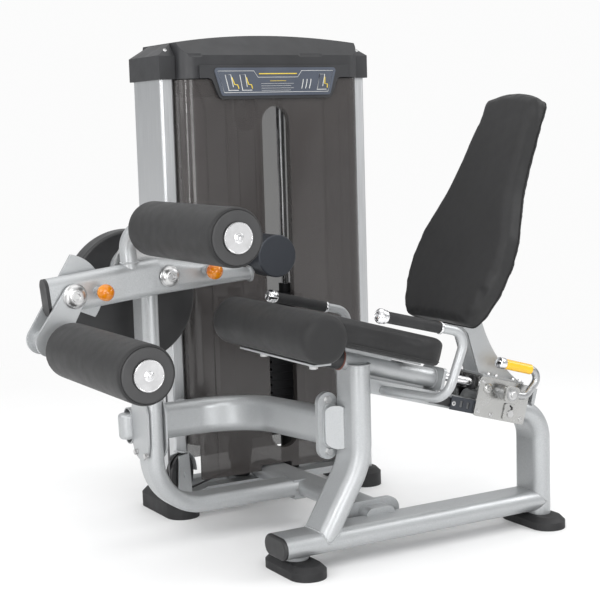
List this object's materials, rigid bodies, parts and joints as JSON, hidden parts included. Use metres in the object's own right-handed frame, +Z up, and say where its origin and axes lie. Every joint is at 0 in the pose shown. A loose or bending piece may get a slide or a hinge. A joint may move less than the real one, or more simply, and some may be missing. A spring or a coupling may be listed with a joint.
{
  "type": "seated leg curl machine",
  "caption": "Seated leg curl gym machine: tilted seat, sliding backrest, padded swing lever with knee and ankle rollers, and a cable-driven weight tower beside it.",
  "frame": {"origin": "middle of the machine's bounding rectangle on the floor", "axes": "+X towards the backrest, +Y towards the weight tower, +Z up"},
  "size_m": [1.455, 1.229, 1.466],
  "materials": {
    "frame_paint": "satin silver powder coat",
    "column_aluminium": "brushed satin",
    "disc_aluminium": "turned",
    "chrome": "polished",
    "bright_zinc": "bright zinc plate",
    "bare_steel": "bright",
    "cable_steel": "stranded wire",
    "black_plastic": "fine matt",
    "head_plastic": "fine grained",
    "smoked_shroud": "smoked gloss, slightly translucent",
    "rear_panel": "translucent smoked",
    "vinyl": "grained vinyl",
    "rubber": "matt",
    "orange_knob": "gloss",
    "yellow_grip": "dipped",
    "placard_print": "printed",
    "dark_plate": "satin",
    "weight_steel": "painted"
  },
  "bodies": {
    "frame": {"base_tube": "frame_paint", "tube_end_caps": "black_plastic", "front_post": "frame_paint", "rear_post": "frame_paint", "rubber_feet": "rubber", "cross_tube": "frame_paint", "connecting_arm": "frame_paint", "lever_post": "frame_paint", "post_clamp_plates": "frame_paint", "frame_bolts": "bare_steel", "seat_rail": "frame_paint", "rail_channel": "frame_paint", "index_plate": "dark_plate", "seat_plate": "frame_paint", "knee_roll": "vinyl", "seat_pad": "vinyl", "handle_tubes": "frame_paint", "handle_grips": "rubber", "handle_caps": "chrome", "hub_housing": "frame_paint", "hub_bearings": "bare_steel", "cam_cover": "black_plastic", "tower_columns": "column_aluminium", "tower_base_frame": "frame_paint", "tower_top_beam": "frame_paint", "column_caps": "head_plastic", "crown_fascia": "head_plastic", "placard": "placard_print", "front_shroud": "smoked_shroud", "rear_shroud": "rear_panel", "guide_rods": "chrome", "rubber_stops": "rubber", "weight_plates": "weight_steel", "pulley_brackets": "frame_paint", "lift_cable": "cable_steel"},
    "cam_hub": {"hub_axle": "bare_steel", "cam_wheel": "dark_plate"},
    "lever": {"lever_arm": "frame_paint", "lever_end_cap": "black_plastic", "counterweight": "dark_plate"},
    "ankle_link": {"ankle_bracket": "frame_paint"},
    "ankle_roller": {"ankle_roller_pad": "vinyl", "ankle_roller_core": "disc_aluminium"},
    "upper_roller": {"upper_roller_pad": "vinyl", "upper_roller_core": "disc_aluminium"},
    "front_pin": {"front_pull_pin": "orange_knob"},
    "rear_pin": {"rear_pull_pin": "orange_knob"},
    "carriage": {"carriage_box": "bright_zinc", "carriage_bushes": "black_plastic", "backrest_bracket": "frame_paint", "backrest_pad": "vinyl"},
    "release": {"release_lever": "chrome", "release_grip": "yellow_grip"},
    "latch": {"latch_pin": "bare_steel"},
    "weight_top": {"top_weight": "weight_steel", "selector_stem": "bare_steel"},
    "selector": {"selector_pin": "black_plastic"},
    "low_wheel": {"low_pulley": "black_plastic"},
    "stack_wheel": {"stack_pulley": "black_plastic"},
    "top_wheel": {"top_pulley": "black_plastic"}
  },
  "joints": [
    {"name": "lever_swing", "type": "hinge", "parent": "frame", "child": "cam_hub", "pos_m": [-0.33291, 0.2812, 0.788], "axis": [0, -1, 0], "range_deg": [0, 76]},
    {"name": "start_angle", "type": "hinge", "parent": "cam_hub", "child": "lever", "pos_m": [-0.33291, 0.0222, 0.788], "axis": [0, -1, 0], "range_deg": [0, 16]},
    {"name": "ankle_angle", "type": "hinge", "parent": "lever", "child": "ankle_link", "pos_m": [-0.61291, 0.0222, 0.757], "axis": [0, 1, 0], "range_deg": [0, 24]},
    {"name": "ankle_roller_spin", "type": "hinge", "parent": "ankle_link", "child": "ankle_roller", "pos_m": [-0.64791, -0.3128, 0.623], "axis": [0, 1, 0], "continuous": true},
    {"name": "upper_roller_spin", "type": "hinge", "parent": "lever", "child": "upper_roller", "pos_m": [-0.40391, -0.3128, 0.926], "axis": [0, 1, 0], "continuous": true},
    {"name": "front_pin_pull", "type": "slide", "parent": "lever", "child": "front_pin", "axis": [0, -1, 0], "range_m": [0, 0.012], "stiffness_N_per_m": 600, "springref_m": -0.005},
    {"name": "rear_pin_pull", "type": "slide", "parent": "lever", "child": "rear_pin", "axis": [0, -1, 0], "range_m": [0, 0.012], "stiffness_N_per_m": 600, "springref_m": -0.005},
    {"name": "backrest_slide", "type": "slide", "parent": "frame", "child": "carriage", "axis": [-0.9613, 0, 0.2756], "range_m": [0, 0.072]},
    {"name": "release_pull", "type": "hinge", "parent": "carriage", "child": "release", "pos_m": [0.51889, -0.4088, 0.41851], "axis": [0, -1, 0], "range_deg": [0, 18], "stiffness_Nm_per_rad": 4, "springref_deg": -17.19},
    {"name": "latch_draw", "type": "slide", "parent": "carriage", "child": "latch", "axis": [0, -1, 0], "range_m": [0, 0.006]},
    {"name": "stack_lift", "type": "slide", "parent": "frame", "child": "weight_top", "axis": [0, 0, 1], "range_m": [0, 0.14]},
    {"name": "selector_pull", "type": "slide", "parent": "weight_top", "child": "selector", "axis": [0, -1, 0], "range_m": [0, 0.06]},
    {"name": "low_wheel_turn", "type": "hinge", "parent": "frame", "child": "low_wheel", "pos_m": [-0.18043, 0.31274, 0.147], "axis": [-0.5533, 0.833, 0], "range_deg": [0, 141]},
    {"name": "stack_wheel_turn", "type": "hinge", "parent": "frame", "child": "stack_wheel", "pos_m": [0.13861, 0.52466, 0.147], "axis": [-0.5533, 0.833, 0], "range_deg": [0, 141]},
    {"name": "top_wheel_turn", "type": "hinge", "parent": "frame", "child": "top_wheel", "pos_m": [0.18609, 0.4992, 1.24], "axis": [-1, 0, 0], "range_deg": [0, 141]}
  ],
  "couplings": [
    {"joint": "stack_lift", "follows": "lever_swing", "m_per_rad": 0.105},
    {"joint": "low_wheel_turn", "follows": "lever_swing", "ratio": 1.8421},
    {"joint": "stack_wheel_turn", "follows": "lever_swing", "ratio": 1.8421},
    {"joint": "top_wheel_turn", "follows": "lever_swing", "ratio": 1.8421},
    {"joint": "latch_draw", "follows": "release_pull", "m_per_rad": 0.019}
  ]
}
